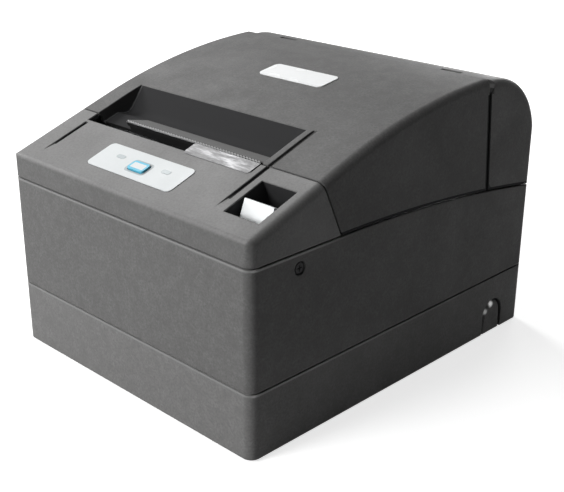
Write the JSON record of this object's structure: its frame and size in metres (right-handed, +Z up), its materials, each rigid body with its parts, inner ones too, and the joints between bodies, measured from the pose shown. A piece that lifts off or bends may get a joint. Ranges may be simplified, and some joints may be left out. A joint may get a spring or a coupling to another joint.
{
  "type": "receipt printer",
  "caption": "Desktop thermal receipt printer with a hinged lid, drop-in roll bucket, guillotine cutter and front release lever.",
  "frame": {"origin": "centre of the footprint at the level of the feet", "axes": "+X points to the right as seen from the front, +Y to the back, +Z up"},
  "size_m": [0.177, 0.213, 0.1469],
  "materials": {
    "case": "textured charcoal moulding",
    "white_plastic": "smooth white",
    "label": "satin white",
    "lens": "clear lens",
    "foot_rubber": "black",
    "platen_rubber": "ground smooth",
    "sheet_steel": "zinc plated",
    "bright_steel": "polished",
    "screw_steel": "black zinc",
    "gear_plastic": "natural acetal",
    "bronze": "sintered bronze",
    "motor_can": "grey can",
    "black_plastic": "black",
    "ceramic": "glazed ceramic",
    "heat_sink": "extruded",
    "board": "solder mask"
  },
  "bodies": {
    "base": {"lower_case": "case", "mid_case": "case", "front_cover": "case", "rear_cover": "case", "rubber_feet": "foot_rubber", "cable_exit_cap": "case", "side_screws": "screw_steel", "base_screws": "sheet_steel", "label_plate": "label", "led_lenses": "lens", "panel_board": "board", "latch_spring": "sheet_steel", "lid_hinge_pins": "sheet_steel", "hinge_springs": "sheet_steel", "mechanism_frame": "sheet_steel", "frame_screws": "sheet_steel", "idler_pin": "sheet_steel", "feed_motor": "motor_can", "head_pin": "sheet_steel", "head_springs": "sheet_steel", "spring_plate": "sheet_steel", "paper_guide": "black_plastic", "cutter_frame": "sheet_steel", "cutter_tray": "black_plastic", "cutter_pin": "sheet_steel", "cutter_motor": "motor_can", "slot_cover": "bright_steel", "roll_bucket": "black_plastic", "paper_sensor": "black_plastic", "cover_switch": "black_plastic", "main_board": "board", "board_parts": "black_plastic", "board_screws": "sheet_steel", "interface_plate": "sheet_steel", "serial_socket": "sheet_steel", "usb_socket": "sheet_steel", "drawer_socket": "black_plastic", "power_inlet": "black_plastic", "switch_housing": "black_plastic"},
    "lid": {"lid": "case", "badge_plate": "white_plastic", "tear_bar": "bright_steel", "fixed_blade": "bright_steel", "platen_bracket": "sheet_steel", "platen_bushes": "bronze"},
    "platen": {"platen_rubber": "platen_rubber", "platen_shaft": "bright_steel", "platen_gear": "gear_plastic"},
    "idler": {"idler_gear": "gear_plastic"},
    "feed_pinion": {"motor_pinion": "bronze"},
    "latch": {"latch_lever": "white_plastic", "latch_shaft": "sheet_steel", "latch_hooks": "sheet_steel"},
    "head": {"print_head": "ceramic", "heat_sink": "heat_sink"},
    "cutter_blade": {"moving_blade": "bright_steel"},
    "cutter_reduction": {"cutter_gear": "gear_plastic"},
    "cutter_drive": {"cutter_pinion": "bronze"},
    "feed_button": {"feed_button": "white_plastic"},
    "power_rocker": {"power_switch": "black_plastic"}
  },
  "joints": [
    {"name": "lid_hinge", "type": "hinge", "parent": "base", "child": "lid", "pos_m": [0, 0.064, 0.1405], "axis": [-1, 0, 0], "range_deg": [0, 75]},
    {"name": "platen_spin", "type": "hinge", "parent": "lid", "child": "platen", "pos_m": [0, -0.0505, 0.10354], "axis": [1, 0, 0], "continuous": true},
    {"name": "idler_spin", "type": "hinge", "parent": "base", "child": "idler", "pos_m": [0, -0.0467, 0.0835], "axis": [1, 0, 0], "continuous": true},
    {"name": "feed_pinion_spin", "type": "hinge", "parent": "base", "child": "feed_pinion", "pos_m": [0, -0.0525, 0.0652], "axis": [1, 0, 0], "continuous": true},
    {"name": "latch_pull", "type": "hinge", "parent": "base", "child": "latch", "pos_m": [0, -0.06548, 0.08233], "axis": [-1, 0, 0], "range_deg": [0, 12], "stiffness_Nm_per_rad": 0.6, "springref_deg": -17.19},
    {"name": "head_tilt", "type": "hinge", "parent": "base", "child": "head", "pos_m": [0, -0.05532, 0.0854], "axis": [1, 0, 0], "range_deg": [0, 1.5], "stiffness_Nm_per_rad": 5, "springref_deg": -2.86},
    {"name": "cutter_stroke", "type": "slide", "parent": "base", "child": "cutter_blade", "axis": [0, 0.9426, 0.3338], "range_m": [0, 0.0095]},
    {"name": "cutter_gear_spin", "type": "hinge", "parent": "base", "child": "cutter_reduction", "pos_m": [0.00755, -0.07784, 0.09387], "axis": [0, -0.3338, 0.9426], "range_deg": [-114, 0]},
    {"name": "cutter_pinion_spin", "type": "hinge", "parent": "base", "child": "cutter_drive", "pos_m": [0.02435, -0.07784, 0.09387], "axis": [0, -0.3338, 0.9426], "range_deg": [0, 284]},
    {"name": "feed_press", "type": "slide", "parent": "base", "child": "feed_button", "axis": [0, 0.3338, -0.9426], "range_m": [0, 0.0008], "stiffness_N_per_m": 800, "springref_m": -0.001},
    {"name": "rocker_tilt", "type": "hinge", "parent": "base", "child": "power_rocker", "pos_m": [-0.0847, -0.0725, 0.019], "axis": [0, 0, 1], "range_deg": [0, 14]}
  ],
  "couplings": [
    {"joint": "idler_spin", "follows": "platen_spin", "ratio": -0.41667},
    {"joint": "feed_pinion_spin", "follows": "platen_spin", "ratio": 1.25},
    {"joint": "cutter_gear_spin", "follows": "cutter_stroke", "rad_per_m": -208.33},
    {"joint": "cutter_pinion_spin", "follows": "cutter_stroke", "rad_per_m": 520.83}
  ]
}
